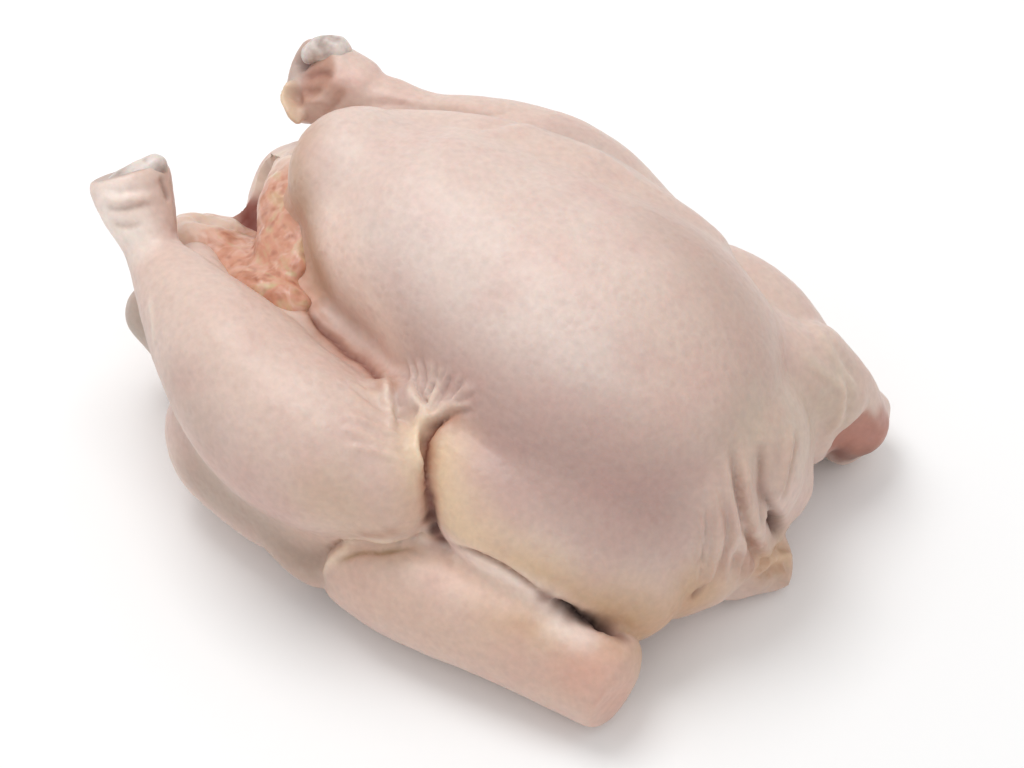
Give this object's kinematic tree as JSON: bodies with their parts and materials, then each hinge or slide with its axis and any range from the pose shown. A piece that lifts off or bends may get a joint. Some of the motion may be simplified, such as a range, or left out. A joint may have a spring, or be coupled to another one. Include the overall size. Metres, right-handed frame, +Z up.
{
  "type": "whole raw turkey",
  "caption": "Whole raw turkey, plucked and oven ready, lying breast up, with an open stuffing cavity between the legs and wings cut at the joint.",
  "frame": {"origin": "on the table, under the middle of the bird's outline", "axes": "+X towards the neck end, -X towards the legs and tail, +Z up through the breast"},
  "size_m": [0.4074, 0.3143, 0.1903],
  "materials": {
    "skin": "raw poultry skin, pale pink to cream, goose-pimpled, moist with a soft sheen",
    "meat": "cut raw meat and the lining of the body cavity, red-brown and wet",
    "fat": "raw body fat round the vent, orange-pink, lumpy and greasy",
    "cartilage": "cut joint and cartilage at the hocks, blue-grey to white, smooth and wet"
  },
  "bodies": {
    "root": {"turkey": "skin"}
  },
  "joints": []
}
